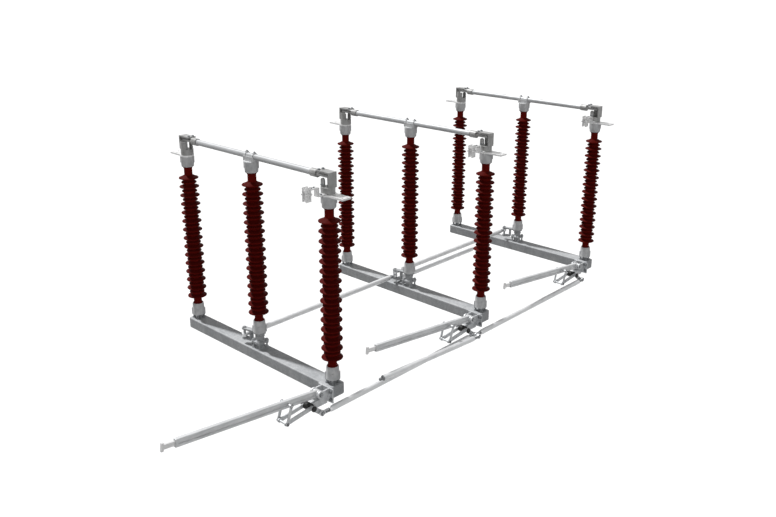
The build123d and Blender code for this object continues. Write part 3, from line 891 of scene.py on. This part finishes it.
def earth_rods():
    """Bolts and weld beads on the flat necks of the earthing rods and the drive rod's free end."""
    level = Matrix.Identity(4)
    tilt = Matrix.Rotation(math.radians(-earth_drive_tilt), 4, "X")
    necks = (("1", "1", 1, level), ("2", "1", -1, level), ("2", "3", 1, level), ("3", "3", -1, level),
             ("2", "2", -1, tilt))
    bead = shaped(neck_bead_shares, neck_bead_height, neck_bead_radius, sides=24)
    moved(bead, shift(0, 0, neck_bead_start))
    face = earth_eye_thickness / 2
    pieces = []
    for pole, lane, side, turn in necks:
        eye = shift(post_x + earth_lanes[lane], pole_y[pole] + earth_pin.y, earth_pin.z) @ turn
        pieces += stamped(m8, [eye @ stand(face, side * along, 0, (1, 0, 0)) for along in neck_bolt_places])
        pieces += stamped(bead, [eye @ toward((0, side, 0))])
    bpy.data.objects.remove(bead)
    drive_eye = shift(post_x + earth_lanes["2"], earth_pin.y, earth_pin.z) @ tilt
    pieces += stamped(rod_tip, [drive_eye @ stand(0, -earth_drive_length, 0, (0, -1, 0))])
    dress(pieces, "earth_rod_bolts", "earth_rods", bolt_zinc)


# Blade
def blade_straps():
    """Lugs and bolts on top of the two straps that hold the blade on the centre post."""
    low = (-lug_half_length, -lug_half_width, strap_top - lug_sink)
    high = (lug_half_length, lug_half_width, strap_top + lug_rise)
    lug = block(low, high)
    straps = [shift(side * strap_offset, 0, 0) for side in (-1, 1)]
    lugs = joined(stamped(lug, straps))
    bolts = joined(stamped(m8, [strap @ shift(0, 0, strap_top + lug_rise) for strap in straps]))
    bpy.data.objects.remove(lug)
    on_poles(lugs, "strap_lugs", "rotor", cast)
    on_poles(bolts, "strap_bolts", "rotor", bolt_zinc)


def blade_rivets():
    """Rivets on the contact tongues at the blade's ends."""
    rivet = shaped(rivet_shares, rivet_height, rivet_radius, sides=14)
    top = blade_level + tongue_thickness / 2
    places = [shift(side * (blade_half + along), 0, top) for side in (-1, 1) for along in rivet_places]
    rivets = joined(stamped(rivet, places))
    bpy.data.objects.remove(rivet)
    on_poles(rivets, "blade_rivets", "rotor", bolt_zinc)


# Contacts on the fixed posts
def contact_bolts():
    """Bolts on the hoods and fingers of the fixed contacts."""
    hood = [shift(-hood_bolt_setback, side * hood_bolt_spread, hood_top) for side in (-1, 1)]
    finger_level = terminal_top + finger_bolt_rise
    finger = [stand(x, finger_bolt_face, finger_level, (0, -1, 0)) for x in finger_bolt_places]
    bolts = joined(stamped(m12, on_both_posts(hood)) + stamped(m8, on_both_posts(finger)))
    on_poles(bolts, "contact_bolts", "frame", bolt_zinc)


def finger_springs():
    """Spring bars across the finger banks of the earthing contacts, with their bolts."""
    middle = terminal_top + (spring_bottom + spring_top) / 2
    pieces = []
    for side in (-1, 1):
        x_low, x_high = sorted((side * (finger_face - spring_sink), side * (finger_face + spring_rise)))
        low = (post_x + x_low, finger_bank_y - spring_half_length, terminal_top + spring_bottom)
        high = (post_x + x_high, finger_bank_y + spring_half_length, terminal_top + spring_top)
        pieces.append(block(low, high, spring_corner))
        outer_face = post_x + side * (finger_face + spring_rise)
        for along in (-finger_pitch, 0, finger_pitch):
            pieces += stamped(m8, [stand(outer_face, finger_bank_y + along, middle, (side, 0, 0))])
    on_poles(joined(pieces), "finger_springs", "frame", tinned)


def earth_contact_bolts():
    """Bolts of the stepped bars that carry the finger banks."""
    foot_top = terminal_top + earth_plate_thickness
    places = [shift(post_x, y, horn_top) for y in horn_bolt_places]
    places += [shift(post_x + side * foot_bolt_spread, foot_bolt_place, foot_top) for side in (-1, 1)]
    on_poles(joined(stamped(m8, places)), "earth_contact_bolts", "frame", bolt_zinc)


# Earthing gear
arm_place = shift(*arm_pivot) @ Matrix.Rotation(math.radians(-arm_tilt), 4, "X")
crank_place = shift(post_x, crank_pivot.y, crank_pivot.z)
link_pin = shift(0, -link_reach, 0)
along_x = toward((1, 0, 0))


def bracket_bolts():
    """Bolts of the brackets and split pins of the arms' pivots."""
    places = []
    for side in (-1, 1):
        for level in bracket_bolt_levels:
            places.append(stand(post_x + side * bracket_bolt_spread, bracket_face, level, (0, -1, 0)))
    pivots = [shift(*arm_pivot) @ stand(side * bracket_lug_face, 0, 0, (side, 0, 0)) for side in (-1, 1)]
    bolts = joined(stamped(m16, places) + stamped(pin_end, pivots))
    on_poles(bolts, "bracket_bolts", "frame", bolt_zinc)


def crank_bushes():
    """Black bushes over the brackets' bearings for the cranks."""
    half = crank_bush_half_width
    bush = eased_bar(-half, half, crank_bush_radius, crank_bush_ease, sides=32)
    moved(bush, crank_place @ along_x)
    on_poles(bush, "crank_bush", "frame", black_bush)


def arm_tube():
    """Tube along -Y from the pivot, with a groove in each side and an open end."""
    low = (-arm_half_width, -arm_tube_end, -arm_half_height)
    high = (arm_half_width, 0, arm_half_height)
    tube = block(low, high, arm_corner, segments=3)
    for side in (-1, 1):
        recess(tube, axis=0, side=side, margin=arm_groove_margin, depth=arm_groove_depth)
    recess(tube, axis=1, side=-1, margin=arm_mouth_margin, depth=arm_mouth_depth)
    return settle(tube)


def arms():
    """Arms with their pivot bosses and link pins."""
    boss = eased_bar(-arm_boss_half_width, arm_boss_half_width, arm_boss_radius, arm_boss_ease, sides=40)
    pin = eased_bar(-link_pin_half_width, link_pin_half_width, link_pin_radius, link_pin_ease, sides=20)
    arm = joined([arm_tube(), moved(boss, along_x), moved(pin, link_pin @ along_x)])
    made = on_poles(moved(arm, arm_place), "arm_body", "arm", arm_aluminium)
    for pole in poles:
        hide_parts("earth_arm_" + pole)


def arm_trim():
    """Pivot bushes and link pin rings of the arms."""
    pieces = []
    for side in (-1, 1):
        bush = shaped(pivot_bush_shares, pivot_bush_length, pivot_bush_radius, sides=24)
        ring = shaped(link_ring_shares, link_ring_length, link_ring_radius, sides=20)
        outward = (side, 0, 0)
        pieces.append(moved(bush, stand(side * pivot_bush_start, 0, 0, outward)))
        pieces.append(moved(ring, link_pin @ stand(side * link_ring_start, 0, 0, outward)))
    on_poles(moved(joined(pieces), arm_place), "arm_pins", "arm", bolt_zinc)


def crank_hubs():
    """Black caps on the ends of the cranks' shafts."""
    outer = shaped(outer_hub_shares, outer_hub_length, outer_hub_radius, sides=24)
    inner = shaped(inner_hub_shares, inner_hub_length, inner_hub_radius, sides=28)
    moved(outer, stand(outer_hub_start, 0, 0, (1, 0, 0)))
    moved(inner, stand(-inner_hub_start, 0, 0, (-1, 0, 0)))
    hubs = moved(joined([outer, inner]), crank_place)
    on_poles(hubs, "crank_hubs", "crank", black_bush)


def stub_spacers(lanes):
    """Sleeves on a crank's stub that keep the rods' eyes in their lanes."""
    reach = earth_eye_thickness / 2 + spacer_gap
    low = spacer_start
    pieces = []
    for lane in lanes:
        high = earth_lanes[lane] - reach
        if high - low > spacer_least:
            sleeve = eased_bar(low, high, spacer_radius, spacer_ease, sides=20, run=2 * spacer_ease)
            pieces.append(moved(sleeve, along_x))
        low = earth_lanes[lane] + reach
    return pieces


def crank_pins():
    """Spacers and split pins on the cranks' stubs."""
    for pole in poles:
        stub = shift(post_x, pole_y[pole] + earth_pin.y, earth_pin.z)
        pin_face = earth_lanes[pole] + earth_eye_thickness / 2 + stub_pin_gap
        pieces = [moved(sleeve, stub) for sleeve in stub_spacers(stub_lanes[pole])]
        pieces += stamped(pin_end, [stub @ stand(pin_face, 0, 0, (1, 0, 0))])
        dress(pieces, "crank_pins_" + pole, "crank_" + pole, bolt_zinc)


def link_nuts():
    """Low nuts on the struts' lower pivots."""
    places = [shift(*crank_pin) @ stand(side * link_face, 0, 0, (side, 0, 0)) for side in (-1, 1)]
    on_poles(joined(stamped(m12_low, places)), "link_nuts", "links", bolt_zinc)


# Floor, light and camera
floor_size = 500
floor_level = -8
floor_bounce = grey(0.12)
floor_shown = grey(0.94)
sky_light = 0.15
sky_shown = 1.0
key_source = (-0.52, -0.10, 0.85)
fill_source = (0.75, -0.50, 0.40)
lens_length = 38.29
lens_sensor = 36
lens_shift = (-0.0103, -0.0399)
lens_reach = 1000
camera_place = (5.2207, -5.8875, 3.3108)
camera_heading = -42.567
camera_drop = 18.196
camera_roll = 0.305


def seen_rays(tree):
    """One for rays that show the background: camera, glossy and transmission."""
    path = tree.nodes.new("ShaderNodeLightPath")
    total = path.outputs["Is Camera Ray"]
    for name in ("Is Glossy Ray", "Is Transmission Ray"):
        larger = tree.nodes.new("ShaderNodeMath")
        larger.operation = "MAXIMUM"
        tree.links.new(total, larger.inputs[0])
        tree.links.new(path.outputs[name], larger.inputs[1])
        total = larger.outputs["Value"]
    return total


def floor():
    """Pale floor far below the part, darker for the light that it sends back up."""
    deselect()
    bpy.ops.mesh.primitive_plane_add(size=floor_size, location=(0, 0, floor_level))
    ground = bpy.context.object
    ground.name = "floor"
    material, tree, shader = new_material("floor", metallic=0.0, specular=0.0)
    shader.inputs["Roughness"].default_value = 1.0
    colour = tree.nodes.new("ShaderNodeMix")
    colour.data_type = "RGBA"
    colour.inputs["A"].default_value = (*floor_bounce, 1)
    colour.inputs["B"].default_value = (*floor_shown, 1)
    tree.links.new(seen_rays(tree), colour.inputs["Factor"])
    tree.links.new(colour.outputs["Result"], shader.inputs["Base Color"])
    ground.data.materials.append(material)


def world():
    """White background that gives less light than it shows."""
    sky = bpy.data.worlds.new("studio")
    bpy.context.scene.world = sky
    sky.use_nodes = True
    tree = sky.node_tree
    background = tree.nodes["Background"]
    background.inputs["Color"].default_value = (*white, 1)
    strength = range_node(tree, seen_rays(tree), sky_light, sky_shown)
    tree.links.new(strength, background.inputs["Strength"])


def sun(name, source, strength, softness):
    """Sun that shines from a direction, with a softness in degrees."""
    lamp = bpy.data.lights.new(name, "SUN")
    lamp.energy = strength
    lamp.angle = math.radians(softness)
    holder = bpy.data.objects.new(name, lamp)
    holder.matrix_world = toward(source)
    bpy.context.scene.collection.objects.link(holder)


def camera():
    """Camera of the photo, by its place and its heading, drop and roll in degrees."""
    lens = bpy.data.cameras.new("camera")
    lens.lens = lens_length
    lens.sensor_width = lens_sensor
    lens.shift_x, lens.shift_y = lens_shift
    lens.clip_end = lens_reach
    holder = bpy.data.objects.new("camera", lens)
    bpy.context.scene.collection.objects.link(holder)
    turn = Matrix.Rotation(math.radians(-camera_heading), 4, "Z")
    tilt = Matrix.Rotation(math.radians(90 - camera_drop), 4, "X")
    spin = Matrix.Rotation(math.radians(camera_roll), 4, "Z")
    holder.matrix_world = shift(*camera_place) @ turn @ tilt @ spin
    bpy.context.scene.camera = holder


bpy.context.scene.view_settings.view_transform = "Standard"
paint_frame()
insulators()
fitting_trim()
studs()
bearings()
levers()
main_rods()
earth_rods()
blade_straps()
blade_rivets()
contact_bolts()
finger_springs()
earth_contact_bolts()
bracket_bolts()
crank_bushes()
arms()
arm_trim()
crank_hubs()
crank_pins()
link_nuts()
for model in shared_models:
    bpy.data.objects.remove(model)
floor()
world()
sun("key_light", key_source, strength=3.6, softness=3)
sun("fill_light", fill_source, strength=0.62, softness=60)
camera()
